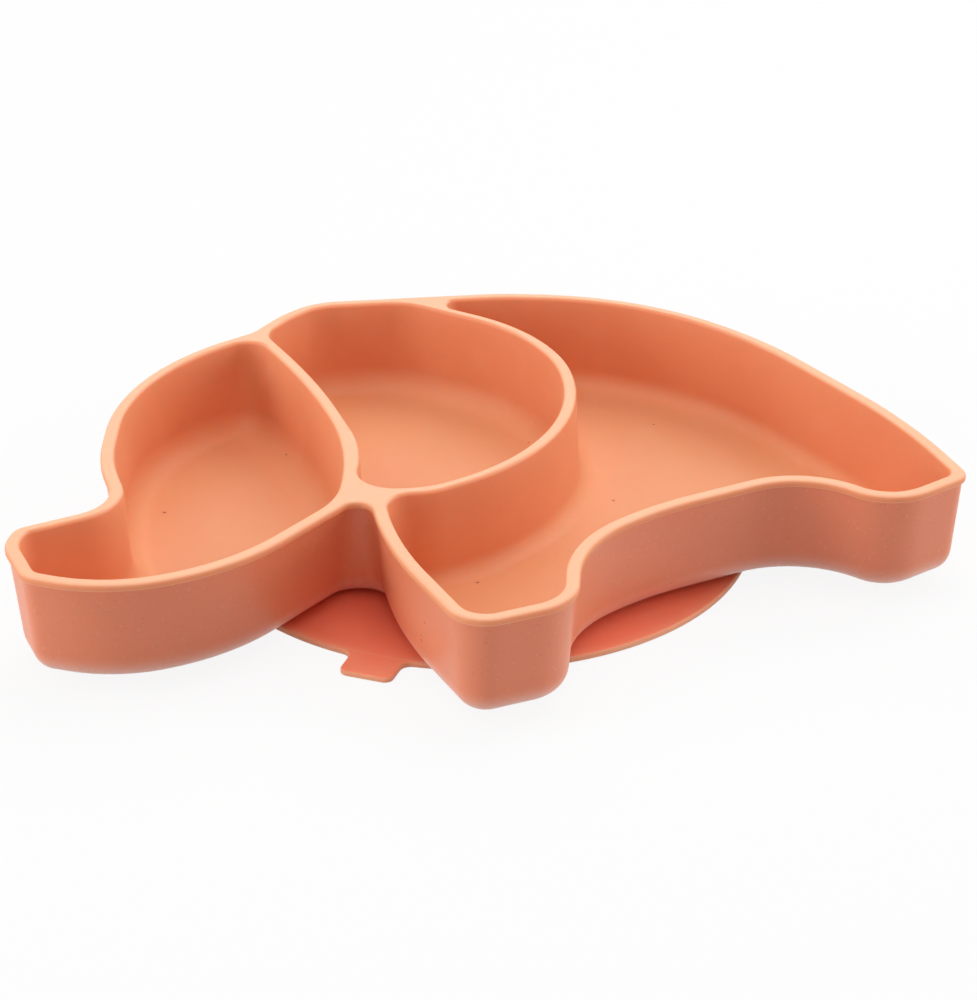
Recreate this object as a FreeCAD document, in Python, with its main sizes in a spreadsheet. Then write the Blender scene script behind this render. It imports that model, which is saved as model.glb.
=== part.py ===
import FreeCAD, Part
import math
import os
import Sketcher

# A divided silicone plate for a baby, seen from above as an elephant that faces -X.
# Head with trunk, ear and body are three compartments. A suction disc is moulded under them.
# Lengths are in millimetres and angles in degrees. Z is up and Z = 0 is the table.

sizes = {
    "stand": 3.0,             # table to the underside of the compartments
    "plate_depth": 31.0,      # underside of the compartments to the rim
    "floor_thickness": 3.0,
    "wall": 3.9,              # outer wall with its bead, measured at the rim
    "divider": 3.6,           # the two inner walls, measured at the rim
    "lip_depth": 2.0,         # bead round the outside of the rim
    "lip_proud": 0.7,         # how far the bead stands out from the wall below it
    "outer_draft": 4.5,
    "inner_draft": 3.0,
    "base_round": 6.8,        # outer wall into the underside
    "floor_round": 7.5,       # wall into floor in the head and the ear
    "body_floor_round": 5.0,  # the same in the body, whose end at the nape is narrow
    "rim_round": 0.8,
    "least_corner": 4.0,      # sharpest upright corner inside a compartment
    "corner_slack": 0.2,      # an upright corner is this much rounder than the rounding at its foot
    "disc_radius": 79.0,
    "disc_x": -5.0,
    "disc_y": 9.5,
    "disc_edge": 1.7,         # thickness of the disc at its edge
    "disc_root": 2.3,         # thickness of the disc where it meets the neck
    "neck_radius": 40.0,
    "cup_depth": 1.4,         # hollow under the disc
    "seal_width": 7.0,        # flat ring that meets the table
    "disc_round": 0.5,
    "tab_length": 9.5,        # beyond the edge of the disc
    "tab_width": 15.0,
    "tab_thickness": 1.5,
    "tab_angle": -109.5,      # from +X about the disc's centre
    "tab_corner": 2.5,
    "tab_flare": 3.0,         # rounding between the tab and the disc's edge
}

# Corners of the outline before they are rounded: x, y and radius, anticlockwise from above.
outline = {
    "trunk_tip_low": (-122.0, -79.0, 7.5),
    "trunk_under": (-99.5, -87.0, 45.0),
    "jaw": (-66.0, -73.0, 71.0),
    "chin": (-34.5, -31.5, 4.5),
    "leg_front": (-29.0, -62.0, 142.0),
    "toe": (-7.5, -104.5, 11.0),
    "foot_back": (21.5, -92.0, 16.0),
    "leg_back": (23.0, -61.0, 38.0),
    "belly_front": (44.5, -42.0, 106.0),
    "belly": (85.0, -21.0, 25.0),
    "rear_foot": (107.5, -39.5, 16.5),
    "heel": (131.0, -22.0, 6.5),
    "rump": (118.5, 12.0, 187.0),
    "hip": (82.0, 67.0, 128.0),
    "back": (45.0, 99.5, 110.0),
    "shoulder": (2.0, 102.0, 65.0),
    "ear_top": (-56.0, 95.0, 21.0),
    "ear_front": (-65.5, 85.0, 33.0),
    "brow": (-73.2, 72.5, 8.5),
    "forehead": (-110.2, 44.0, 77.0),
    "face": (-110.0, -13.0, 71.5),
    "trunk_root": (-102.0, -39.0, 13.5),
    "trunk_top": (-127.5, -52.5, 6.5),
    "trunk_tip": (-129.5, -61.5, 15.0),
}

# Sides of the outline whose wall slopes unlike the rest, named by the corner where they start: how much
# further in the wall's foot stands than its draft alone would put it. A negative one is more upright.
leans = {
    "trunk_top": 1.5,
    "heel": -1.5,
}

# Middle line of the wall between head and ear, from the chin up to the brow.
earFrontWall = {
    "temple_end": (-41.0, -36.5, 0.0),
    "temple": (-38.5, -5.0, 108.0),
    "ear_edge": (-53.0, 37.5, 270.0),
    "brow_end": (-73.0, 75.0, 0.0),
}

# Middle line of the wall round the back of the ear, from the chin up to the nape.
earBackWall = {
    "lobe_end": (-42.0, -32.0, 0.0),
    "lobe": (-17.5, -30.5, 29.0),
    "lobe_back": (27.5, -2.0, 68.5),
    "ear_back": (20.0, 52.0, 51.5),
    "ear_high": (8.0, 75.5, 58.0),
    "nape_end": (-24.0, 94.5, 0.0),
}

# Upright corners at the rim where a dividing wall meets another wall.
junctions = {
    "head_brow_corner": 7.0,
    "head_jaw_corner": 27.0,
    "ear_nape_corner": 19.0,
    "ear_brow_corner": 8.5,
    "ear_lobe_corner": 10.5,
    "body_nape_corner": 3.5,
    "body_chin_corner": 8.5,
}


def fillSheet(doc):
    sheet = doc.addObject("Spreadsheet::Sheet", "sizes")
    row = 1
    for name, value in list(sizes.items()) + list(junctions.items()):
        sheet.set("A%d" % row, name)
        sheet.set("B%d" % row, str(value))
        sheet.setAlias("B%d" % row, name)
        row += 1
    for chain in (outline, earFrontWall, earBackWall):
        for name, (x, y, radius) in chain.items():
            sheet.set("A%d" % row, name)
            for column, part, value in (("B", "x", x), ("C", "y", y), ("D", "round", radius)):
                sheet.set("%s%d" % (column, row), str(value))
                sheet.setAlias("%s%d" % (column, row), "%s_%s" % (name, part))
            row += 1
    for name, value in leans.items():
        sheet.set("A%d" % row, name)
        sheet.set("E%d" % row, str(value))
        sheet.setAlias("E%d" % row, name + "_lean")
        row += 1
    doc.recompute()
    return sheet


straightShare = 0.03  # of each side of a loop, kept straight between two arcs
tightShare = 0.65     # most of a side that the tighter of its two corners may take
floorRounding = {"head": "floor_round", "ear": "floor_round", "body": "body_floor_round"}


def cornersOf(sheet, chain):
    points = []
    for name in chain:
        x, y, radius = (sheet.get("%s_%s" % (name, part)) for part in ("x", "y", "round"))
        points.append((FreeCAD.Vector(x, y, 0), radius))
    return points


def turnAt(before, point, after):
    """Signed turn at a corner in radians, positive to the left."""
    inward = (point - before).normalize()
    outward = (after - point).normalize()
    return math.atan2(inward.cross(outward).z, inward.dot(outward))


def fittedRadii(corners):
    """Each corner's radius, made smaller only where two arcs would not fit on one side.

    The gentler of the two corners gives way first. A short straight piece stays on every side,
    so that loops at two heights match piece by piece.
    """
    count = len(corners)
    radii = [radius for point, radius in corners]
    reaches = []
    for i in range(count):
        turn = turnAt(corners[i - 1][0], corners[i][0], corners[(i + 1) % count][0])
        reaches.append(radii[i] * abs(math.tan(turn / 2)))
    fitted = list(radii)
    for i in range(count):
        j = (i + 1) % count
        room = (corners[j][0] - corners[i][0]).Length * (1 - straightShare)
        if reaches[i] + reaches[j] > room:
            tight, gentle = (i, j) if radii[i] < radii[j] else (j, i)
            kept = min(reaches[tight], room * tightShare)
            fitted[tight] = min(fitted[tight], radii[tight] * kept / reaches[tight])
            fitted[gentle] = min(fitted[gentle], radii[gentle] * (room - kept) / reaches[gentle])
    return fitted


def meetingPoint(first, second):
    """Where two lines cross, each given as a point and a direction."""
    gap = second[0] - first[0]
    slope = first[1].cross(second[1]).z
    return first[0] + first[1] * (gap.cross(second[1]).z / slope)


def insetLoop(corners, insets):
    """Moves side i, from corner i to the next, to its left by insets[i]."""
    count = len(corners)
    lines = []
    for i in range(count):
        start, end = corners[i][0], corners[(i + 1) % count][0]
        direction = (end - start).normalize()
        normal = FreeCAD.Vector(-direction.y, direction.x, 0)
        lines.append((start + normal * insets[i], direction))
    return [meetingPoint(lines[i - 1], lines[i]) for i in range(count)]


def insetCorners(corners, insets, leastRadius):
    """The same loop further in: bulging corners tighten and hollow corners open out."""
    points = insetLoop(corners, insets)
    moved = []
    for i, point in enumerate(points):
        turn = turnAt(points[i - 1], point, points[(i + 1) % len(points)])
        inset = min(insets[i - 1], insets[i])
        if turn > 0:
            radius = max(corners[i][1] - inset, leastRadius)
        else:
            radius = corners[i][1] + inset
        moved.append((point, radius))
    return list(zip(points, fittedRadii(moved)))


def compartment(pieces, leastRadius):
    """Closed loop from runs of corners: (corners, inset, radius of the corner that starts the run).

    Runs follow each other anticlockwise, and neighbouring runs meet where their sides cross.
    """
    starts = []
    for corners, inset, firstRadius in pieces:
        for i in range(len(corners) - 1):
            start, end = corners[i][0], corners[i + 1][0]
            direction = (end - start).normalize()
            normal = FreeCAD.Vector(-direction.y, direction.x, 0)
            if i == 0:
                radius = firstRadius
            elif turnAt(corners[i - 1][0], start, end) > 0:
                radius = max(corners[i][1] - inset, leastRadius)
            else:
                radius = corners[i][1] + inset
            starts.append(((start + normal * inset, direction), radius))
    loop = []
    for i, (line, radius) in enumerate(starts):
        loop.append((meetingPoint(starts[i - 1][0], line), radius))
    return list(zip([corner[0] for corner in loop], fittedRadii(loop)))


def originPlane(body, role):
    return next(item for item in body.Origin.OriginFeatures if item.Role == role)


def levelSketch(body, name, level):
    """Empty sketch on a horizontal plane at the given height above the table."""
    sketch = body.newObject("Sketcher::SketchObject", name)
    sketch.AttachmentSupport = (originPlane(body, "XY_Plane"), [""])
    sketch.MapMode = "FlatFace"
    sketch.setExpression("AttachmentOffset.Base.z", level)
    return sketch


def drawLoop(sketch, corners):
    """Draws a closed loop of sides and tangent arcs and joins their ends."""
    count = len(corners)
    ends = []
    for i in range(count):
        before, (point, radius), after = corners[i - 1][0], corners[i], corners[(i + 1) % count][0]
        turn = turnAt(before, point, after)
        inward = (point - before).normalize()
        outward = (after - point).normalize()
        reach = radius * abs(math.tan(turn / 2))
        middle = point + (outward - inward).normalize() * (radius / math.cos(turn / 2) - radius)
        ends.append((point - inward * reach, middle, point + outward * reach, turn > 0))
    drawn = []
    for i in range(count):
        arcStart, middle, arcEnd, bulging = ends[i]
        # arcs are drawn anticlockwise, so a hollow corner's arc starts at its far end
        if bulging:
            drawn.append((sketch.addGeometry(Part.Arc(arcStart, middle, arcEnd)), 1, 2))
        else:
            drawn.append((sketch.addGeometry(Part.Arc(arcEnd, middle, arcStart)), 2, 1))
        following = ends[(i + 1) % count][0]
        drawn.append((sketch.addGeometry(Part.LineSegment(arcEnd, following)), 1, 2))
    links = []
    for i, (index, firstEnd, lastEnd) in enumerate(drawn):
        previous = drawn[i - 1]
        links.append(Sketcher.Constraint("Coincident", previous[0], previous[2], index, firstEnd))
    sketch.addConstraint(links)


def edgesAtLevel(shape, level, keep=lambda edge: True):
    """Names of the edges that lie in one horizontal plane."""
    names = []
    for number, edge in enumerate(shape.Edges, 1):
        box = edge.BoundBox
        if abs(box.ZMin - level) < 0.01 and abs(box.ZMax - level) < 0.01 and keep(edge):
            names.append("Edge%d" % number)
    return names


def touches(drawing, edge):
    """Whether an edge of a solid lies on the lines of a drawing."""
    middle = edge.valueAt((edge.FirstParameter + edge.LastParameter) / 2)
    return drawing.distToShape(Part.Vertex(middle))[0] < 0.01


def tightest(corners):
    """Smallest radius among the bulging corners of a loop."""
    count = len(corners)
    bulging = []
    for i in range(count):
        if turnAt(corners[i - 1][0], corners[i][0], corners[(i + 1) % count][0]) > 0:
            bulging.append(corners[i][1])
    return min(bulging)


def roundEdges(body, name, names, radius):
    """Rounds edges by a size, or by less where the wall beside them leaves no room."""
    base = body.Tip
    fillet = body.newObject("PartDesign::Fillet", name)
    fillet.Base = (base, names)
    fillet.setExpression("Radius", radius)
    body.Document.recompute()


def buildShell(body, sheet):
    """Solid block under the rim: drafted wall, bead and rounded underside."""
    corners = cornersOf(sheet, outline)
    corners = list(zip([corner[0] for corner in corners], fittedRadii(corners)))
    proud = sheet.get("lip_proud")
    shrink = proud + sheet.get("plate_depth") * math.tan(math.radians(sheet.get("outer_draft")))
    least = sheet.get("base_round") + sheet.get("corner_slack")
    baseInsets = [shrink + sheet.get(name + "_lean") if name in leans else shrink for name in outline]
    baseCorners = insetCorners(corners, baseInsets, least)

    top = levelSketch(body, "wall_at_rim", "sizes.stand + sizes.plate_depth")
    drawLoop(top, insetCorners(corners, [proud] * len(corners), sheet.get("least_corner")))
    bottom = levelSketch(body, "wall_at_base", "sizes.stand")
    drawLoop(bottom, baseCorners)
    block = body.newObject("PartDesign::AdditiveLoft", "block")
    block.Profile = top
    block.Sections = [bottom]
    block.Ruled = True
    body.Document.recompute()
    names = edgesAtLevel(block.Shape, sheet.get("stand"))
    room = tightest(baseCorners) - sheet.get("corner_slack")
    roundEdges(body, "base_rounding", names, "min(sizes.base_round; %.3f)" % room)

    rim = levelSketch(body, "rim_outline", "sizes.stand + sizes.plate_depth")
    drawLoop(rim, corners)
    lip = body.newObject("PartDesign::Pad", "lip")
    lip.Profile = rim
    lip.Reversed = True
    lip.setExpression("Length", "sizes.lip_depth")
    body.Document.recompute()
    return corners, rim.Shape.BoundBox.Center


def run(corners, first, last):
    """Corners of the outline from one name to another, both included, going round."""
    names = list(outline)
    start, end = names.index(first), names.index(last)
    if end < start:
        end += len(names)
    return [corners[i % len(names)] for i in range(start, end + 1)]


def compartmentRuns(sheet, corners):
    """The three compartments at the rim, each as runs along the outer wall and the dividers.

    The divider behind the ear meets the outer wall between the shoulder and the ear's top.
    """
    wall = sheet.get("wall")
    half = sheet.get("divider") / 2
    front = cornersOf(sheet, earFrontWall)
    back = cornersOf(sheet, earBackWall)
    return {
        "head": [
            (run(corners, "brow", "chin"), wall, sheet.get("head_brow_corner")),
            (front, half, sheet.get("head_jaw_corner")),
        ],
        "ear": [
            (run(corners, "shoulder", "brow"), wall, sheet.get("ear_nape_corner")),
            (front[::-1], half, sheet.get("ear_brow_corner")),
            (back, half, sheet.get("ear_lobe_corner")),
        ],
        "body": [
            (run(corners, "chin", "ear_top"), wall, sheet.get("body_chin_corner")),
            (back[::-1], half, sheet.get("body_nape_corner")),
        ],
    }


def hollowCompartment(body, sheet, name, pieces):
    """Cuts one compartment with drafted walls and rounds its floor."""
    floorLevel = sheet.get("stand") + sheet.get("floor_thickness")
    depth = sheet.get("plate_depth") - sheet.get("floor_thickness")
    drift = depth * math.tan(math.radians(sheet.get("inner_draft")))
    least = sheet.get(floorRounding[name]) + sheet.get("corner_slack")
    mouthLoop = compartment(pieces, sheet.get("least_corner"))
    floorLoop = insetCorners(mouthLoop, [drift] * len(mouthLoop), least)

    mouth = levelSketch(body, name + "_mouth", "sizes.stand + sizes.plate_depth")
    drawLoop(mouth, mouthLoop)
    floor = levelSketch(body, name + "_floor", "sizes.stand + sizes.floor_thickness")
    drawLoop(floor, floorLoop)
    hollow = body.newObject("PartDesign::SubtractiveLoft", name + "_compartment")
    hollow.Profile = mouth
    hollow.Sections = [floor]
    hollow.Ruled = True
    body.Document.recompute()

    names = edgesAtLevel(hollow.Shape, floorLevel, lambda edge: touches(floor.Shape, edge))
    room = tightest(floorLoop) - sheet.get("corner_slack")
    radius = "min(sizes.%s; %.3f; 0.9 * (sizes.plate_depth - sizes.floor_thickness))"
    roundEdges(body, name + "_floor_rounding", names, radius % (floorRounding[name], room))


def suctionProfile(body, sheet):
    """Half section of the suction disc and its neck, beside its own upright axis."""
    sketch = body.newObject("Sketcher::SketchObject", "suction_profile")
    sketch.AttachmentSupport = (originPlane(body, "XZ_Plane"), [""])
    sketch.MapMode = "FlatFace"
    sketch.setExpression("AttachmentOffset.Base.x", "sizes.disc_x")
    sketch.setExpression("AttachmentOffset.Base.z", "-sizes.disc_y")
    radius = sheet.get("disc_radius")
    seal = radius - sheet.get("seal_width")
    hollow = sheet.get("cup_depth")
    neck = sheet.get("neck_radius")
    top = sheet.get("stand") + sheet.get("floor_thickness") / 2
    places = [(0, hollow), (seal, 0), (radius, 0), (radius, sheet.get("disc_edge")),
              (neck, sheet.get("disc_root")), (neck, top), (0, top)]
    points = [FreeCAD.Vector(x, y, 0) for x, y in places]
    for i, point in enumerate(points):
        sketch.addGeometry(Part.LineSegment(point, points[(i + 1) % len(points)]))
    for i in range(len(points)):
        sketch.addConstraint(Sketcher.Constraint("Coincident", i, 2, (i + 1) % len(points), 1))
    for line in (1, 5):
        sketch.addConstraint(Sketcher.Constraint("Horizontal", line))
    for line in (2, 4, 6):
        sketch.addConstraint(Sketcher.Constraint("Vertical", line))
    sketch.addConstraint(Sketcher.Constraint("PointOnObject", 0, 1, -2))
    sketch.addConstraint(Sketcher.Constraint("PointOnObject", 1, 1, -1))
    dimensions = [
        ("DistanceX", 1, 2, radius, "sizes.disc_radius"),
        ("DistanceX", 1, 1, seal, "sizes.disc_radius - sizes.seal_width"),
        ("DistanceY", 0, 1, hollow, "sizes.cup_depth"),
        ("DistanceY", 2, 2, sheet.get("disc_edge"), "sizes.disc_edge"),
        ("DistanceX", 3, 2, neck, "sizes.neck_radius"),
        ("DistanceY", 3, 2, sheet.get("disc_root"), "sizes.disc_root"),
        ("DistanceY", 4, 2, top, "sizes.stand + sizes.floor_thickness / 2"),
    ]
    for kind, line, end, value, expression in dimensions:
        number = sketch.addConstraint(Sketcher.Constraint(kind, -1, 1, line, end, value))
        sketch.setExpression("Constraints[%d]" % number, expression)
    return sketch


def buildSuctionDisc(body, sheet):
    profile = suctionProfile(body, sheet)
    disc = body.newObject("PartDesign::Revolution", "suction_disc")
    disc.Profile = profile
    disc.ReferenceAxis = (profile, ["V_Axis"])
    disc.Angle = 360.0
    body.Document.recompute()
    radius = sheet.get("disc_radius")
    edge = sheet.get("disc_edge")
    outermost = lambda item: abs(item.BoundBox.XLength - 2 * radius) < 0.01
    names = edgesAtLevel(disc.Shape, edge, outermost)
    roundEdges(body, "disc_edge_rounding", names, "min(sizes.disc_round; 0.45 * sizes.disc_edge)")


def buildTab(body, sheet):
    """Pull tab on the disc's edge: round corners outside, flared into the disc."""
    radius = sheet.get("disc_radius")
    half = sheet.get("tab_width") / 2
    corner = min(sheet.get("tab_corner"), half * 0.9)
    flare = sheet.get("tab_flare")
    reach = radius + sheet.get("tab_length")
    sketch = levelSketch(body, "tab_outline", "0 mm")
    sketch.setExpression("AttachmentOffset.Base.x", "sizes.disc_x")
    sketch.setExpression("AttachmentOffset.Base.y", "sizes.disc_y")
    sketch.setExpression("AttachmentOffset.Rotation.Angle", "sizes.tab_angle")

    # centre of the flare's arc, which touches both the tab's side and the disc's edge
    centreY = half + flare
    centreX = math.sqrt((radius + flare) ** 2 - centreY ** 2)
    away = math.atan2(centreY, centreX)
    onDisc = FreeCAD.Vector(radius * math.cos(away), radius * math.sin(away), 0)
    onSide = FreeCAD.Vector(centreX, half, 0)
    mid = (away + math.pi + 1.5 * math.pi) / 2
    onFlare = FreeCAD.Vector(centreX + flare * math.cos(mid), centreY + flare * math.sin(mid), 0)
    cut = corner * (1 - math.sqrt(0.5))
    cornerStart = FreeCAD.Vector(reach - corner, half, 0)
    cornerMid = FreeCAD.Vector(reach - cut, half - cut, 0)
    cornerEnd = FreeCAD.Vector(reach, half - corner, 0)

    def mirrored(point):
        return FreeCAD.Vector(point.x, -point.y, 0)

    for side in (lambda point: point, mirrored):
        sketch.addGeometry(Part.Arc(side(onDisc), side(onFlare), side(onSide)))
        sketch.addGeometry(Part.LineSegment(side(onSide), side(cornerStart)))
        sketch.addGeometry(Part.Arc(side(cornerStart), side(cornerMid), side(cornerEnd)))
    sketch.addGeometry(Part.LineSegment(cornerEnd, mirrored(cornerEnd)))
    sketch.addGeometry(Part.LineSegment(onDisc, mirrored(onDisc)))
    tab = body.newObject("PartDesign::Pad", "pull_tab")
    tab.Profile = sketch
    tab.setExpression("Length", "sizes.tab_thickness")
    body.Document.recompute()


def roundRim(body, sheet):
    """Softens every edge of the rim's top face, outside and in the three compartments."""
    level = sheet.get("stand") + sheet.get("plate_depth")
    radius = "min(sizes.rim_round; 0.45 * sizes.wall; 0.45 * sizes.divider; 0.9 * sizes.lip_depth)"
    roundEdges(body, "rim_rounding", edgesAtLevel(body.Tip.Shape, level), radius)


def buildPlate(doc, sheet):
    body = doc.addObject("PartDesign::Body", "plate")
    body.Label = "divided_plate"
    corners, centre = buildShell(body, sheet)
    for name, pieces in compartmentRuns(sheet, corners).items():
        hollowCompartment(body, sheet, name, pieces)
    roundRim(body, sheet)
    buildSuctionDisc(body, sheet)
    buildTab(body, sheet)
    body.Placement.Base = FreeCAD.Vector(-centre.x, -centre.y, 0)
    doc.recompute()
    return body


def checkDocument(doc):
    for item in doc.Objects:
        if "Invalid" in item.State or "Error" in item.State:
            raise RuntimeError("%s failed: %s" % (item.Name, item.State))


def main():
    doc = FreeCAD.newDocument("plate")
    sheet = fillSheet(doc)
    nodes = [buildPlate(doc, sheet)]
    checkDocument(doc)
    os.makedirs("parts", exist_ok=True)
    for node in nodes:
        shape = node.Shape
        if shape.isNull() or not shape.isValid():
            raise RuntimeError("%s has no valid shape" % node.Label)
        shape.exportStep("parts/%s.step" % node.Label)
        print(node.Label, "solids", len(shape.Solids), "volume", round(shape.Volume / 1000, 1), "cm3")
        print("box", shape.BoundBox)


main()
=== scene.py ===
import bmesh
import bpy
import math
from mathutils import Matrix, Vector


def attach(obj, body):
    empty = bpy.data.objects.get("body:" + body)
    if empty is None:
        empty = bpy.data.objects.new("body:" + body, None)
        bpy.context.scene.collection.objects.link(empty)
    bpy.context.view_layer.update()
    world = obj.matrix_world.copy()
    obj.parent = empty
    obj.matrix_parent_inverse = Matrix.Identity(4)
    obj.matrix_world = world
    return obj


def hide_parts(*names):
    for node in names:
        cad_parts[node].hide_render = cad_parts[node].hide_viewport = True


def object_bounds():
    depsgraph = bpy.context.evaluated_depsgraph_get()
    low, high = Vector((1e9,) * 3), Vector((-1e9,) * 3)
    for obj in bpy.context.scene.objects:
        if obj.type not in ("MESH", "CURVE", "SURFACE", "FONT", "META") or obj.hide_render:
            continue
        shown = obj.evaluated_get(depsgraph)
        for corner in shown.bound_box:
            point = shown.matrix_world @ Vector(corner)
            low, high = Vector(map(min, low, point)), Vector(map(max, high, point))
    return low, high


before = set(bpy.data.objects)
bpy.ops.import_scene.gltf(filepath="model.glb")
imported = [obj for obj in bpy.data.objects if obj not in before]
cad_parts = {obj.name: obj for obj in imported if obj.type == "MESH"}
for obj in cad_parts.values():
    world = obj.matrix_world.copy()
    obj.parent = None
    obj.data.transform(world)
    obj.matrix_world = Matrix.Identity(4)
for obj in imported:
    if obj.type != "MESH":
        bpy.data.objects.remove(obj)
cadLow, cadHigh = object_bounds()
mm = 0.001
print("frame loaded")


# The plate, in mm. A corner is x, y and radius, and the outline runs anticlockwise from above

plateShape = {
    "stand": 3.0,  # table to underside
    "rim": 34.0,
    "floor": 6.0,
    "wall": 3.9,
    "divider": 3.6,
    "lipDepth": 2.0,
    "lipProud": 0.7,
    "outerDraft": 4.5,  # degrees
    "innerDraft": 3.0,
    "baseRound": 6.8,
    "floorRound": {"head": 7.5, "ear": 7.5, "body": 5.0},
    "rimRound": 1.1,
    "lipRound": 0.35,  # lower edge of the bead
    "leastCorner": 4.0,
    "outline": {
        "trunkTipLow": (-122.0, -79.0, 7.5),
        "trunkUnder": (-99.5, -87.0, 45.0),
        "jaw": (-66.0, -73.0, 71.0),
        "chin": (-34.5, -31.5, 4.5),
        "legFront": (-29.0, -62.0, 142.0),
        "toe": (-7.5, -104.5, 11.0),
        "footBack": (21.5, -92.0, 16.0),
        "legBack": (23.0, -61.0, 38.0),
        "bellyFront": (44.5, -42.0, 106.0),
        "belly": (85.0, -21.0, 25.0),
        "rearFoot": (107.5, -39.5, 16.5),
        "heel": (131.0, -22.0, 6.5),
        "rump": (118.5, 12.0, 187.0),
        "hip": (82.0, 67.0, 128.0),
        "back": (45.0, 99.5, 110.0),
        "shoulder": (2.0, 102.0, 65.0),
        "earTop": (-56.0, 95.0, 21.0),
        "earFront": (-65.5, 85.0, 33.0),
        "brow": (-73.2, 72.5, 8.5),
        "forehead": (-110.2, 44.0, 77.0),
        "face": (-110.0, -13.0, 71.5),
        "trunkRoot": (-102.0, -39.0, 13.5),
        "trunkTop": (-127.5, -52.5, 6.5),
        "trunkTip": (-129.5, -61.5, 15.0),
    },
    "leans": {"trunkTop": 1.5, "heel": -1.5},  # how much further in the wall's foot is on that side
    "earFrontWall": [(-41.0, -36.5, 0), (-38.5, -5.0, 108), (-53.0, 37.5, 270), (-73.0, 75.0, 0)],
    "earBackWall": [(-42.0, -32.0, 0), (-17.5, -30.5, 29), (27.5, -2.0, 68.5), (20.0, 52.0, 51.5),
                    (8.0, 75.5, 58), (-24.0, 94.5, 0)],
    "junctions": {  # corner radii where a divider meets another wall
        "headBrow": 7.0, "headJaw": 27.0,
        "earNape": 19.0, "earBrow": 8.5, "earLobe": 10.5,
        "bodyNape": 3.5, "bodyChin": 8.5,
    },
    "sideStep": 3.0,  # mesh size along a straight side
    "arcStep": 2.4,  # and along an arc
    "arcTurn": 7.0,  # most degrees an arc turns in one step
    "edgeSteps": 5,  # over the rim's edge
    "lipSteps": 3,
    "wallSteps": {"outer": 4, "inner": 5},
    "footSteps": {"outer": 9, "inner": 10},
    "footGap": {"outer": 1.5, "inner": 0.5},  # straight wall left above the rounding
    "rimStrip": 0.3,  # flat kept beside the rim's edge
    "footStrip": 0.15,  # and beside the rounding at a wall's foot
    "underLip": (0.05, 0.5),  # loops just under the bead
    "spareRadius": 0.2,  # of a corner, over the rounding at its foot
    "easeSpare": 0.35,  # the same where that rounding gives way
    "easeSlope": 0.3,  # how fast it comes back, mm per mm
    "smoothAngle": 35,
}

discShape = {
    "centre": (-5.0, 9.5),
    "radius": 79.0,
    "edge": 1.7,  # thickness
    "root": 2.3,
    "neck": 40.0,
    "neckBlend": 0.35,
    "cup": 1.4,
    "seal": 7.0,
    "edgeRound": 0.5,
    "underRound": 0.2,
    "edgeStrip": 0.25,
    "apron": 4.0,  # from the last ring to the edge
    "tabLength": 9.5,
    "tabWidth": 15.0,
    "tabThickness": 1.5,
    "tabAngle": -109.5,
    "tabCorner": 2.5,
    "tabFlare": 3.0,
    "tabSteps": (7, 3, 8),  # on the flare, the side and the corner
    "rings": 5,
    "ringPoints": 144,
    "edgePoints": 150,
}


def compass(angle):
    return Vector((math.cos(angle), math.sin(angle)))


def leftOf(along):
    return Vector((-along.y, along.x))


def turned(point, angle):
    return Vector((point.x * math.cos(angle) - point.y * math.sin(angle),
                   point.x * math.sin(angle) + point.y * math.cos(angle)))


def turnAt(points, i):  # how far a loop turns at a point, anticlockwise being positive
    point = points[i % len(points)]
    inward = (point - points[(i - 1) % len(points)]).normalized()
    outward = (points[(i + 1) % len(points)] - point).normalized()
    return math.atan2(inward.cross(outward), inward.dot(outward))


def fitRadii(corners):  # shrinks an arc where two would not fit on one side
    count = len(corners)
    points, radii = zip(*corners)
    reaches = [radii[i] * abs(math.tan(turnAt(points, i) / 2)) for i in range(count)]
    mostOfSide, tightShare = 0.97, 0.65
    fitted = list(radii)
    for i in range(count):
        j = (i + 1) % count
        room = (points[j] - points[i]).length * mostOfSide
        if reaches[i] + reaches[j] > room:
            tight, gentle = (i, j) if radii[i] < radii[j] else (j, i)
            kept = min(reaches[tight], room * tightShare)
            fitted[tight] = min(fitted[tight], radii[tight] * kept / reaches[tight])
            fitted[gentle] = min(fitted[gentle], radii[gentle] * (room - kept) / reaches[gentle])
    return list(zip(points, fitted))


def crossing(first, second):  # where two lines meet, each a point and a direction
    gap = second[0] - first[0]
    return first[0] + first[1] * (gap.cross(second[1]) / first[1].cross(second[1]))


def compartmentLoop(runs, least):  # runs of corners, each with its inset and its first corner's radius
    sides = []
    for corners, inset, firstRadius in runs:
        points, radii = zip(*corners)
        for i in range(len(corners) - 1):
            along = (points[i + 1] - points[i]).normalized()
            if i == 0:
                radius = firstRadius
            elif turnAt(points, i) > 0:
                radius = max(radii[i] - inset, least)
            else:
                radius = radii[i] + inset
            sides.append(((points[i] + leftOf(along) * inset, along), radius))
    return fitRadii([(crossing(sides[i - 1][0], side), radius) for i, (side, radius) in enumerate(sides)])


def insetLoop(corners, insets, least):  # with an inset for each side
    count = len(corners)
    lines = []
    for i in range(count):
        start, end = corners[i][0], corners[(i + 1) % count][0]
        along = (end - start).normalized()
        lines.append((start + leftOf(along) * insets[i], along))
    points = [crossing(lines[i - 1], lines[i]) for i in range(count)]
    moved = []
    for i, (point, (corner, radius)) in enumerate(zip(points, corners)):
        inset = min(insets[i - 1], insets[i])
        moved.append((point, max(radius - inset, least) if turnAt(points, i) > 0 else radius + inset))
    return fitRadii(moved)


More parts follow.
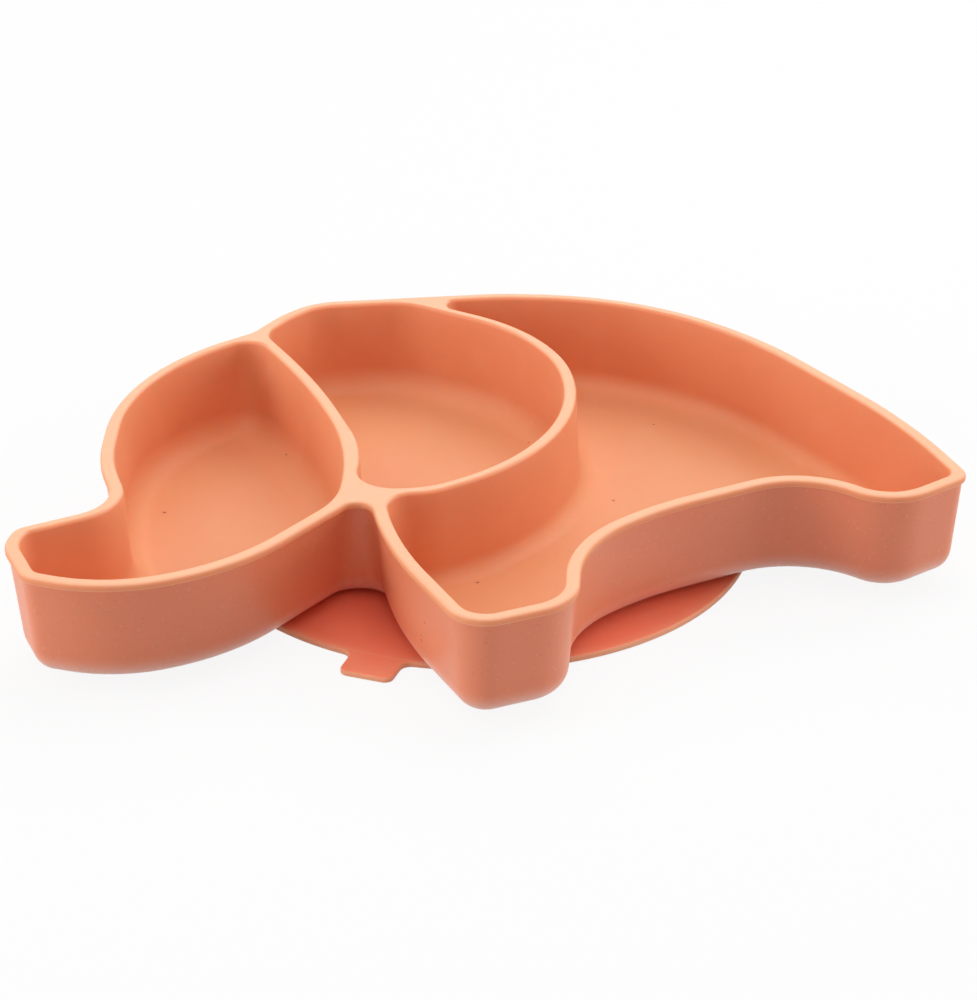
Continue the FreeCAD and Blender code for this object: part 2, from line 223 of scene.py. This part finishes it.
def stepsFor(corners, shape):  # how many mesh steps each arc and side gets
    count = len(corners)
    points, radii = zip(*corners)
    turns = [abs(turnAt(points, i)) for i in range(count)]
    steps = []
    for i in range(count):
        j = (i + 1) % count
        arcSteps = max(2, math.ceil(math.degrees(turns[i]) / shape["arcTurn"]),
                       math.ceil(radii[i] * turns[i] / shape["arcStep"]))
        reach = radii[i] * math.tan(turns[i] / 2) + radii[j] * math.tan(turns[j] / 2)
        side = (points[j] - points[i]).length - reach
        steps.append((arcSteps, max(1, math.ceil(side / shape["sideStep"]))))
    return steps


def trace(corners, steps):  # points and inward normals round a loop
    count = len(corners)
    places, radii = zip(*corners)
    points, normals = [], []
    for i, (arcSteps, sideSteps) in enumerate(steps):
        place, after = places[i], places[(i + 1) % count]
        turn = turnAt(places, i)
        side = math.copysign(1, turn)
        inward = (place - places[i - 1]).normalized()
        outward = (after - place).normalized()
        centre = place - inward * radii[i] * math.tan(abs(turn) / 2) + leftOf(inward) * radii[i] * side
        for k in range(arcSteps + 1):
            normal = leftOf(turned(inward, turn * k / arcSteps))
            points.append(centre - normal * radii[i] * side)
            normals.append(normal)
        reach = radii[(i + 1) % count] * math.tan(abs(turnAt(places, i + 1)) / 2)
        start, end = points[-1], after - outward * reach
        for k in range(1, sideSteps):
            points.append(start.lerp(end, k / sideSteps))
            normals.append(leftOf(outward))
    return points, normals


def easedSizes(size, points, corners, steps, shape):  # a rounding that gives way where the loop turns tightly
    places, radii = zip(*corners)
    rooms = []
    for i, (arcSteps, sideSteps) in enumerate(steps):
        rooms += [radii[i] if turnAt(places, i) > 0 else math.inf] * (arcSteps + 1)
        rooms += [math.inf] * (sideSteps - 1)
    tight = [(point, room - shape["easeSpare"]) for point, room in zip(points, rooms)]
    tight = [(point, room) for point, room in tight if room < size]
    return [min([size] + [room + shape["easeSlope"] * (point - place).length for place, room in tight])
            for point in points]


def runOf(corners, names, first, last):
    start, end = names.index(first), names.index(last)
    if end < start:
        end += len(names)
    return [corners[i % len(names)] for i in range(start, end + 1)]


def flat(chain):
    return [(Vector(corner[:2]), corner[2]) for corner in chain]


def mouthLoops(shape, corners):  # the three compartments at the rim
    names = list(shape["outline"])
    front, back = flat(shape["earFrontWall"]), flat(shape["earBackWall"])
    wall, half, joint = shape["wall"], shape["divider"] / 2, shape["junctions"]
    runs = {
        "head": [(runOf(corners, names, "brow", "chin"), wall, joint["headBrow"]),
                 (front, half, joint["headJaw"])],
        "ear": [(runOf(corners, names, "shoulder", "brow"), wall, joint["earNape"]),
                (front[::-1], half, joint["earBrow"]),
                (back, half, joint["earLobe"])],
        "body": [(runOf(corners, names, "chin", "earTop"), wall, joint["bodyChin"]),
                 (back[::-1], half, joint["bodyNape"])],
    }
    return {name: compartmentLoop(run, shape["leastCorner"]) for name, run in runs.items()}


def placed(points, heights):  # one height for all points, or a list
    if not isinstance(heights, list):
        heights = [heights] * len(points)
    return [Vector((point.x, point.y, height)) for point, height in zip(points, heights)]


def inwards(points, normals, insets):
    if not isinstance(insets, list):
        insets = [insets] * len(points)
    return [point + normal * inset for point, normal, inset in zip(points, normals, insets)]


class Loft:  # an open skin, pulled from loop to loop in edit mode
    def __init__(self, obj, centre):
        self.mesh = bmesh.from_edit_mesh(obj.data)
        for name in ("lip", "noSheen", "outside", "disc"):
            self.mesh.verts.layers.float.new(name)
        self.marks = {}  # what the material reads off the next loops
        self.obj = obj
        self.centre = centre
        self.loop = []

    def lay(self, verts, points):  # puts a loop's vertices on the points, given in mm
        for vert, point in zip(verts, points):
            vert.co = (point - self.centre) * mm
        for name, layer in self.mesh.verts.layers.float.items():
            mark = self.marks.get(name, 0.0)
            for i, vert in enumerate(verts):
                vert[layer] = mark[i] if isinstance(mark, list) else mark
        bmesh.update_edit_mesh(self.obj.data)
        self.loop = verts

    def begin(self, points):
        bpy.ops.mesh.select_all(action="DESELECT")
        bpy.ops.mesh.primitive_circle_add(vertices=len(points), radius=0.1, fill_type="NOTHING")
        start = next(vert for vert in self.mesh.verts if vert.select)
        ring = [start]
        step = start.link_edges[0].other_vert(start)
        if start.co.cross(step.co).z < 0:  # anticlockwise from above
            step = start.link_edges[1].other_vert(start)
        while step is not start:
            ahead = [edge.other_vert(step) for edge in step.link_edges]
            onward = ahead[0] if ahead[0] is not ring[-1] else ahead[1]
            ring.append(step)
            step = onward
        self.lay(ring, points)

    def pull(self, points):  # extrudes the loop's edges and lays the new loop on the points
        bpy.ops.mesh.extrude_edges_move()
        fresh = []
        for vert in self.loop:
            ends = [edge.other_vert(vert) for edge in vert.link_edges]
            fresh.append(next(end for end in ends if end.select))
        self.lay(fresh, points)

    def roundEdge(self, points, normals, levels, size, span, marks):  # an arc, with a loop for each mark
        for k, mark in enumerate(marks):
            angle = math.radians(span[0] + (span[1] - span[0]) * k / (len(marks) - 1))
            heights = [level + size * math.sin(angle) for level in levels]
            self.marks = mark
            self.pull(placed(inwards(points, normals, size * (1 - math.cos(angle))), heights))

    def close(self, *loops):  # fills what lies between the loops
        bpy.ops.mesh.select_all(action="DESELECT")
        for loop in loops:
            for i, vert in enumerate(loop):
                vert.select = True
                self.mesh.edges.get((vert, loop[i - 1])).select = True
        bmesh.update_edit_mesh(self.obj.data)
        bpy.ops.mesh.fill(use_beauty=True)


class Wall:  # a leaning wall, from its loop at the rim to its loop at the level of its foot
    def __init__(self, top, base, normals, rim, level):
        self.top, self.base, self.normals = top, base, normals
        self.level, self.tall = level, rim - level
        self.leans = [math.atan((low - high).dot(normal) / self.tall)
                      for high, low, normal in zip(top, base, normals)]

    def straight(self, loft, first, last, count):  # loops on the way down from one height to another
        for k in range(1, count + 1):
            height = first + (last - first) * k / count
            share = (height - self.level) / self.tall
            loft.pull(placed([low.lerp(high, share) for high, low in zip(self.top, self.base)], height))

    def foot(self, loft, sizes, count, strip):  # the rounding, and a strip of the flat beyond it
        reaches = [size * math.tan(math.pi / 4 - lean / 2) for size, lean in zip(sizes, self.leans)]
        for k in range(count + 1):
            points, heights = [], []
            for i, (size, lean) in enumerate(zip(sizes, self.leans)):
                angle = lean + (math.pi / 2 - lean) * k / count
                rise = size * (1 - math.sin(angle))
                side, normal = self.top[i] - self.base[i], self.normals[i]
                slide = side - normal * side.dot(normal)
                points.append(self.base[i] + normal * (reaches[i] - size * math.cos(angle))
                              + slide * rise / self.tall)
                heights.append(self.level + rise)
            loft.pull(placed(points, heights))
        loft.pull(placed(inwards(self.base, self.normals, [reach + strip for reach in reaches]), self.level))


def outerSkin(loft, shape, corners):  # from the rim to the underside
    rim, stand, edge = shape["rim"], shape["stand"], shape["rimRound"]
    steps = stepsFor(corners, shape)
    lip, lipNormals = trace(corners, steps)
    proud = [shape["lipProud"]] * len(corners)
    top = trace(insetLoop(corners, proud, shape["leastCorner"]), steps)[0]
    shrink = shape["lipProud"] + (rim - stand) * math.tan(math.radians(shape["outerDraft"]))
    insets = [shrink + shape["leans"].get(name, 0.0) for name in shape["outline"]]
    baseCorners = insetLoop(corners, insets, shape["baseRound"] + shape["spareRadius"])
    base, normals = trace(baseCorners, steps)
    wall = Wall(top, base, normals, rim, stand)

    loft.begin(placed(inwards(lip, lipNormals, edge + shape["rimStrip"]), rim))
    rimLoop = loft.loop
    loft.roundEdge(lip, lipNormals, [rim - edge] * len(lip), edge, (90, 0), [{}] * (shape["edgeSteps"] + 1))
    lipFoot, lipRound = rim - shape["lipDepth"], shape["lipRound"]
    # painted highlight: the bead's lower rounding carries the lip mark, which the material paints pale
    marks = [{}] + [{"lip": 0.75}] * shape["lipSteps"]
    loft.roundEdge(lip, lipNormals, [lipFoot + lipRound] * len(lip), lipRound, (0, -90), marks)

    loft.marks = {"outside": 1.0}
    start = lipFoot
    for drop in shape["underLip"]:
        wall.straight(loft, start, lipFoot - drop, 1)
        start = lipFoot - drop
    end = stand + shape["baseRound"] + shape["footGap"]["outer"]
    wall.straight(loft, start, end, shape["wallSteps"]["outer"])
    sizes = easedSizes(shape["baseRound"], base, baseCorners, steps, shape)
    wall.foot(loft, sizes, shape["footSteps"]["outer"], shape["footStrip"])
    loft.marks = {}
    return rimLoop, loft.loop


def innerSkin(loft, shape, mouth, size):  # from the rim into a compartment, with its floor
    rim, floor, edge = shape["rim"], shape["floor"], shape["rimRound"]
    steps = stepsFor(mouth, shape)
    top, topNormals = trace(mouth, steps)
    drift = (rim - floor) * math.tan(math.radians(shape["innerDraft"]))
    floorCorners = insetLoop(mouth, [drift] * len(mouth), size + shape["spareRadius"])
    base, normals = trace(floorCorners, steps)
    wall = Wall(top, base, normals, rim, floor)

    back = [edge * (1 - math.sin(lean)) / math.cos(lean) for lean in wall.leans]
    loft.begin(placed(inwards(top, topNormals, [-length - shape["rimStrip"] for length in back]), rim))
    rimLoop = loft.loop
    # painted shade: inner rim edges that face the feet get no painted rim highlight, so they stay darker
    facing = [min(max(-3 * normal.y - 1.5, 0.0), 1.0) for normal in topNormals]  # 1 towards the feet
    for k in range(shape["edgeSteps"] + 1):
        loft.marks = {"noSheen": [share / 2 if k == 0 else share for share in facing]}
        points, heights = [], []
        for i, lean in enumerate(wall.leans):
            angle = math.pi / 2 - (math.pi / 2 - lean) * k / shape["edgeSteps"]
            points.append(top[i] + topNormals[i] * (edge * math.cos(angle) - back[i]))
            heights.append(rim - edge + edge * math.sin(angle))
        loft.pull(placed(points, heights))

    end = floor + size + shape["footGap"]["inner"]
    wall.straight(loft, rim - edge, end, shape["wallSteps"]["inner"])
    sizes = easedSizes(size, base, floorCorners, steps, shape)
    wall.foot(loft, sizes, shape["footSteps"]["inner"], shape["footStrip"])
    loft.close(loft.loop)
    loft.marks = {}
    return rimLoop


def circle(disc, radius):
    turns = [2 * math.pi * k / disc["ringPoints"] for k in range(disc["ringPoints"])]
    return [Vector(disc["centre"]) + compass(turn) * radius for turn in turns]


def discOutline(disc):  # the disc's edge with its pull tab, and how far onto the tab each point is
    radius, half = disc["radius"], disc["tabWidth"] / 2
    flare, corner = disc["tabFlare"], disc["tabCorner"]
    tip = radius + disc["tabLength"]
    centre = Vector((math.sqrt((radius + flare) ** 2 - (half + flare) ** 2), half + flare))
    away = math.atan2(centre.y, centre.x)
    outline = []
    for k in range(disc["edgePoints"] + 1):
        angle = away + (2 * math.pi - 2 * away) * k / disc["edgePoints"]
        outline.append((compass(angle) * radius, 0.0))
    side = []
    flareSteps, sideSteps, cornerSteps = disc["tabSteps"]
    for k in range(1, flareSteps + 1):
        angle = away + math.pi + (math.pi / 2 - away) * k / flareSteps
        side.append((centre + compass(angle) * flare, k / flareSteps))
    for k in range(1, sideSteps + 1):
        side.append((Vector((centre.x, half)).lerp(Vector((tip - corner, half)), k / sideSteps), 1.0))
    for k in range(1, cornerSteps + 1):
        angle = math.pi / 2 - math.pi / 2 * k / cornerSteps
        side.append((Vector((tip - corner, half - corner)) + compass(angle) * corner, 1.0))
    side.append((Vector((tip, (half - corner) / 3)), 1.0))
    outline += [(Vector((point.x, -point.y)), share) for point, share in side]
    outline += side[::-1]
    turn = math.radians(disc["tabAngle"])
    points = [Vector(disc["centre"]) + turned(point, turn) for point, share in outline]
    return points, [share for point, share in outline]


def normalsOf(points):
    count = len(points)
    return [leftOf((points[(i + 1) % count] - points[i - 1]).normalized()) for i in range(count)]


def discSkin(loft, shape, disc):
    stand, neck, radius = shape["stand"], disc["neck"], disc["radius"]
    blend, rings = disc["neckBlend"], disc["rings"]
    # painted shade and bounce light: the disc mark paints the disc deeper red under the plate
    loft.marks = {"disc": 1.0}
    loft.begin(placed(circle(disc, neck + blend), stand))
    top = loft.loop
    loft.pull(placed(circle(disc, neck), stand - blend))
    loft.pull(placed(circle(disc, neck + blend), disc["root"]))
    last = radius - disc["apron"]
    for k in range(1, rings + 1):
        loft.marks = {"disc": 1 - 0.2 * k / rings}  # the painted deep red fades a little towards the edge
        ring = neck + blend + (last - neck - blend) * k / rings
        fall = (disc["root"] - disc["edge"]) * (ring - neck) / (radius - neck)
        loft.pull(placed(circle(disc, ring), disc["root"] - fall))
    inner = loft.loop

    outline, shares = discOutline(disc)
    normals = normalsOf(outline)
    thick = [disc["edge"] + (disc["tabThickness"] - disc["edge"]) * share for share in shares]
    edge, under = disc["edgeRound"], disc["underRound"]
    # painted highlight: the disc's edge and tab carry the lip mark, which the material paints pale
    loft.marks = {"disc": 0.8, "lip": 0.2}
    loft.begin(placed(inwards(outline, normals, edge + disc["edgeStrip"]), thick))
    outer = loft.loop
    marks = [{"disc": 0.8, "lip": 0.25 + 0.1 * k} for k in range(5)]
    loft.roundEdge(outline, normals, [height - edge for height in thick], edge, (90, 0), marks)
    loft.roundEdge(outline, normals, [under] * len(outline), under, (0, -90), marks[-1:] * 3)
    below = loft.loop
    loft.close(inner, outer)

    seal = radius - disc["seal"]
    loft.begin(placed(circle(disc, seal), 0.0))
    ring = loft.loop
    for k in range(1, rings + 1):
        share = k / (rings + 1)
        loft.pull(placed(circle(disc, seal * (1 - share)), disc["cup"] * math.sin(share * math.pi / 2)))
    loft.pull(placed(circle(disc, 0.0), disc["cup"]))
    bpy.ops.mesh.merge(type="CENTER")
    loft.close(ring, below)
    return top


def makePlate(shape, disc):
    corners = fitRadii(flat(shape["outline"].values()))
    outline = trace(corners, stepsFor(corners, shape))[0]
    middle = Vector(((min(p.x for p in outline) + max(p.x for p in outline)) / 2,
                     (min(p.y for p in outline) + max(p.y for p in outline)) / 2, 0))
    middle -= Vector((cadLow.x + cadHigh.x, cadLow.y + cadHigh.y, 0)) / 2 / mm

    bpy.ops.object.select_all(action="DESELECT")
    bpy.ops.mesh.primitive_circle_add(vertices=3, radius=0.001)
    plate = bpy.context.object
    plate.name = "silicone_plate"
    bpy.ops.object.mode_set(mode="EDIT")
    bpy.ops.mesh.delete(type="VERT")
    bpy.ops.mesh.select_mode(type="EDGE")
    loft = Loft(plate, middle)
    rimLoop, baseLoop = outerSkin(loft, shape, corners)
    rims = [rimLoop]
    for name, mouth in mouthLoops(shape, corners).items():
        rims.append(innerSkin(loft, shape, mouth, shape["floorRound"][name]))
        print("compartment shaped:", name)
    loft.close(*rims)
    neckLoop = discSkin(loft, shape, disc)
    loft.close(baseLoop, neckLoop)
    bpy.ops.mesh.select_all(action="SELECT")
    bpy.ops.mesh.normals_make_consistent(inside=False)
    bpy.ops.object.mode_set(mode="OBJECT")
    bpy.ops.object.shade_smooth_by_angle(angle=math.radians(shape["smoothAngle"]))
    return plate


plate = makePlate(plateShape, discShape)
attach(plate, "root")
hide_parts("divided_plate")
print("plate shaped:", len(plate.data.vertices), "vertices")


# Materials

class Value:  # a socket that can be used in a sum
    def __init__(self, tree, socket):
        self.tree = tree
        self.socket = socket

    def maths(self, operation, *values):
        return self.tree.node("ShaderNodeMath", {"operation": operation}, *values)

    def __add__(self, other):
        return self.maths("ADD", self, other)

    def __radd__(self, other):
        return self.maths("ADD", other, self)

    def __sub__(self, other):
        return self.maths("SUBTRACT", self, other)

    def __rsub__(self, other):
        return self.maths("SUBTRACT", other, self)

    def __mul__(self, other):
        return self.maths("MULTIPLY", self, other)

    def __rmul__(self, other):
        return self.maths("MULTIPLY", other, self)

    def atLeast(self, other):
        return self.maths("MAXIMUM", self, other)

    def between(self, low, high):  # 0 at low, 1 at high, smooth between them
        smooth = {"interpolation_type": "SMOOTHSTEP"}
        return self.tree.node("ShaderNodeMapRange", smooth, self, low, high)


class Shader:  # the nodes of a material or of the world
    def __init__(self, owner):
        self.owner = owner
        owner.use_nodes = True
        self.nodes = owner.node_tree.nodes
        self.links = owner.node_tree.links
        self.nodes.clear()

    def node(self, kind, settings=None, *values, output=0, **named):
        made = self.nodes.new(kind)
        for key, setting in (settings or {}).items():
            setattr(made, key, setting)
        inputs = dict(enumerate(values))
        inputs.update({key.replace("_", " "): value for key, value in named.items()})
        for key, value in inputs.items():
            self.feed(made.inputs[key], value)
        return Value(self, made.outputs[output])

    def feed(self, socket, value):
        if isinstance(value, Value):
            self.links.new(value.socket, socket)
        else:
            socket.default_value = value

    def blend(self, share, first, second):  # from one colour to another
        mix = self.nodes.new("ShaderNodeMix")
        mix.data_type = "RGBA"
        for i, value in ((0, share), (6, first), (7, second)):
            self.feed(mix.inputs[i], (*value, 1) if isinstance(value, tuple) else value)
        return Value(self, mix.outputs[2])

    def mark(self, name):  # a value painted on the mesh
        return self.node("ShaderNodeAttribute", {"attribute_name": name}, output=2)

    def noise(self, place, scale, detail):
        return self.node("ShaderNodeTexNoise", None, Vector=place, Scale=scale, Detail=detail)

    def awayFrom(self, place, x, y, z):  # distance to a point given in mm
        distance = {"operation": "DISTANCE"}
        return self.node("ShaderNodeVectorMath", distance, place, (x * mm, y * mm, z * mm), output=1)

    def backdrop(self):  # 1 for the rays that show the background, 0 for those that only light
        kinds = ("Is Camera Ray", "Is Glossy Ray", "Is Transmission Ray")
        straight, mirrored, through = [self.node("ShaderNodeLightPath", output=kind) for kind in kinds]
        return straight.atLeast(mirrored).atLeast(through)

    def finish(self, surface, kind="ShaderNodeOutputMaterial"):
        out = self.nodes.new(kind)
        self.links.new(surface.socket, out.inputs[0])
        return self.owner


siliconeLook = {
    "colour": (0.81, 0.325, 0.162),
    "deep": (0.76, 0.262, 0.124),
    # floor: painted light, the floors paler and yellower where the overhead light falls
    "floor": (0.83, 0.4, 0.19),
    # bloomAndSheen: a pale whitish film in random clouds and pores, and also the painted highlight on the
    # rim's top, the bead's lower edge and the disc's edge
    "bloomAndSheen": (0.93, 0.5, 0.31),
    # outside: painted shade, the outer walls darker and deeper red than the inside
    "outside": (0.745, 0.215, 0.105),
    # foot: painted light, the lowest strip of the outer walls paler as lit from the white table
    "foot": (0.85, 0.54, 0.45),
    # disc: painted shade and bounce light, the disc deeper red under the plate
    "disc": (0.98, 0.205, 0.12),
    "dust": (0.42, 0.13, 0.07),
    "shares": {  # how much of each colour shows at most
        "deep": 0.5, "cloud": 0.08, "floor": 0.35, "outside": 0.85, "foot": 0.75, "sheenAndWear": 0.85, "step": 0.35,
    },
    "heights": {"sheenAndWear": (33.3, 33.95), "floor": (12, 6), "foot": (11, 3)},  # none and all of it, mm
    "noise": {  # scale and detail
        "broad": (14.0, 2.0), "cloud": (90.0, 3.0), "grain": (2600.0, 2.0),
        "pores": (1300.0, 1.0), "swell": (22.0, 1.0),
    },
    "pores": {"bloomAndSheen": (0.68, 0.76, 0.18), "dust": (0.32, 0.24, 0.25)},  # none and all, share on the outside
    "poreShare": 0.08,  # everywhere
    "roughness": 0.46,
    "cloudRoughness": 0.06,
    "grainRoughness": 0.05,
    "grainBump": (0.12, 0.0001),  # strength and distance
    "swellBump": (0.25, 0.0012),
    "specular": 0.25,
    "coat": 0.6,  # on the outside
    "coatRoughness": 0.4,
    "scatter": 0.5,
    "scatterDepth": 0.003,
    "scatterReach": (1.0, 0.45, 0.25),
    "step": (-4.54, 9.73, 79.0),  # the disc's edge, which shows as a line across the tab
    "stepWidth": (0.5, 0.4),  # inside and outside of the edge
    "specks": [  # place in mm and radius
        (-95.4, 8.4, 6.0, 0.75), (-62.2, 41.5, 7.9, 0.55), (-19.6, -76.5, 13.4, 0.7),
        (-19.5, -76.7, 15.0, 0.55), (-18.7, -79.7, 20.6, 0.6), (-5.1, -32.6, 6.0, 0.65),
        (48.3, 65.6, 6.0, 0.55), (34.2, 15.9, 6.0, 0.6), (10.0, 52.5, 6.4, 0.5),
    ],
    "speckEdge": (1.2, 0.6),  # of the radius
    "speckRagged": 0.3,
}


def makeSilicone(look):
    shader = Shader(bpy.data.materials.new("peach_silicone"))
    place = shader.node("ShaderNodeTexCoord", None, output=3)
    noises = {name: shader.noise(place, *size) for name, size in look["noise"].items()}
    cloud, grain = noises["cloud"], noises["grain"]
    z = shader.node("ShaderNodeSeparateXYZ", None, place, output=2)
    fades = {name: z.between(none * mm, full * mm) for name, (none, full) in look["heights"].items()}
    share = look["shares"]
    outside, disc = shader.mark("outside"), shader.mark("disc")

    colour = shader.blend(noises["broad"].between(0.35, 0.7) * share["deep"], look["colour"], look["deep"])
    colour = shader.blend(cloud.between(0.45, 0.8) * share["cloud"], colour, look["bloomAndSheen"])
    # painted light: the floors inside are paler and yellower below 12 mm
    colour = shader.blend((1 - outside - disc) * fades["floor"] * share["floor"], colour, look["floor"])
    # painted shade: the outer walls are darker and deeper red
    colour = shader.blend(outside * share["outside"], colour, look["outside"])
    # painted light: the outer walls are paler near the table, as bounced light
    colour = shader.blend(outside * fades["foot"] * share["foot"], colour, look["foot"])
    # painted shade and bounce light on the disc
    colour = shader.blend(disc, colour, look["disc"])
    # painted highlight: the rim's top is painted pale, partly as pale wear, and so are the loops marked lip
    sheenAndWear = fades["sheenAndWear"] * (1 - shader.mark("noSheen")) * share["sheenAndWear"]
    colour = shader.blend(sheenAndWear.atLeast(shader.mark("lip")), colour, look["bloomAndSheen"])
    for name, (none, full, most) in look["pores"].items():
        pores = noises["pores"].between(none, full) * (outside * most + look["poreShare"])
        colour = shader.blend(pores, colour, look[name])

    x, y, radius = look["step"]
    within, beyond = look["stepWidth"]
    ring = shader.awayFrom(place, x, y, 0)
    line = (ring.between((radius - within) * mm, radius * mm)
            * ring.between((radius + beyond) * mm, radius * mm))
    colour = shader.blend(line * disc * share["step"], colour, look["bloomAndSheen"])
    ragged = cloud * (look["speckRagged"] * mm)
    none, full = look["speckEdge"]
    for x, y, z, radius in look["specks"]:
        away = shader.awayFrom(place, x, y, z) + ragged
        colour = shader.blend(away.between(none * radius * mm, full * radius * mm), colour, look["dust"])

    roughness = look["roughness"] + cloud * look["cloudRoughness"] + grain * look["grainRoughness"]
    strength, depth = look["grainBump"]
    bump = shader.node("ShaderNodeBump", None, Strength=strength, Distance=depth, Height=grain)
    strength, depth = look["swellBump"]
    swell = shader.node("ShaderNodeBump", None, Strength=strength, Distance=depth,
                        Height=noises["swell"], Normal=bump)
    surface = shader.node("ShaderNodeBsdfPrincipled", None, Base_Color=colour, Roughness=roughness,
                          Normal=swell, IOR=1.5, Specular_IOR_Level=look["specular"],
                          Coat_Weight=outside * look["coat"], Coat_Roughness=look["coatRoughness"],
                          Subsurface_Weight=look["scatter"], Subsurface_Radius=look["scatterReach"],
                          Subsurface_Scale=look["scatterDepth"])
    return shader.finish(surface)


plate.data.materials.clear()
plate.data.materials.append(makeSilicone(siliconeLook))
print("silicone mixed")


# Camera, light and table

view = {
    "target": (-2.08, -36.95, 34.0),
    "elevation": 27.8,
    "distance": 796.5,
    "focal": 2.95,  # of the picture's height
    "sensor": 36,
    "clip": (0.01, 20),  # metres
}


def makeCamera(view):
    rise = math.radians(view["elevation"])
    away = Vector((0, -math.cos(rise), math.sin(rise)))
    bpy.ops.object.camera_add(location=(Vector(view["target"]) + away * view["distance"]) * mm)
    camera = bpy.context.object
    camera.rotation_euler = (math.pi / 2 - rise, 0, 0)
    camera.data.sensor_width = view["sensor"]
    camera.data.lens = view["sensor"] * view["focal"]
    camera.data.clip_start, camera.data.clip_end = view["clip"]
    bpy.context.scene.camera = camera


studio = {
    "lamps": {  # place in metres and power
        "overhead": ((0.0, 0.0, 1.3), 4.4),
        "front": ((0.0, -0.9, 0.9), 1.7),
        "back": ((0.0, 0.9, 0.9), 3.8),
        "left": ((-0.9, 0.0, 0.9), 2.6),
        "backRight": ((0.7, 0.55, 0.9), 4.3),
        "lowLeft": ((-1.2, -0.42, 0.36), 7.4),
        "lowRight": ((1.25, 0.0, 0.35), 6.2),
    },
    "lampSize": 0.8,
    "aim": (0.0, 0.0, 0.02),
    "sky": 0.224,
    "table": (0.7, 0.7, 0.7),
    "tableSize": 12,
    "tableDrop": 0.0002,
    "tableShadow": 0.12,  # how much of the shadow shows
    "tableGlow": 0.08,
    "tableWhite": 1.015,
}


def addSoftbox(name, place, power, studio):
    bpy.ops.object.light_add(type="AREA", location=place)
    lamp = bpy.context.object
    lamp.name = name
    lamp.data.shape = "DISK"
    lamp.data.size = studio["lampSize"]
    lamp.data.energy = power
    lamp.rotation_euler = (Vector(studio["aim"]) - Vector(place)).to_track_quat("-Z", "Y").to_euler()


def makeStudio(studio):
    for name, (place, power) in studio["lamps"].items():
        addSoftbox(name, place, power, studio)
    shader = Shader(bpy.data.worlds.new("studio"))
    level = shader.backdrop() * (1 - studio["sky"]) + studio["sky"]
    sky = shader.node("ShaderNodeBackground", None, Color=(1, 1, 1, 1), Strength=level)
    bpy.context.scene.world = shader.finish(sky, "ShaderNodeOutputWorld")


def makeTable(studio):
    bpy.ops.mesh.primitive_plane_add(size=studio["tableSize"], location=(0, 0, -studio["tableDrop"]))
    table = bpy.context.object
    table.name = "table"
    bpy.ops.object.transform_apply(location=True, rotation=True, scale=True)
    shader = Shader(bpy.data.materials.new("white_table"))
    lit = shader.node("ShaderNodeBsdfDiffuse", None, Color=(*studio["table"], 1))
    plain = shader.node("ShaderNodeEmission", None, Color=(1, 1, 1, 1), Strength=studio["tableWhite"])
    share = shader.backdrop() * (1 - studio["tableShadow"] - studio["tableGlow"]) + studio["tableGlow"]
    surface = shader.node("ShaderNodeMixShader", None, share, lit, plain)
    table.data.materials.append(shader.finish(surface))


makeCamera(view)
makeStudio(studio)
makeTable(studio)
bpy.context.scene.view_settings.view_transform = "Standard"
print("studio ready")
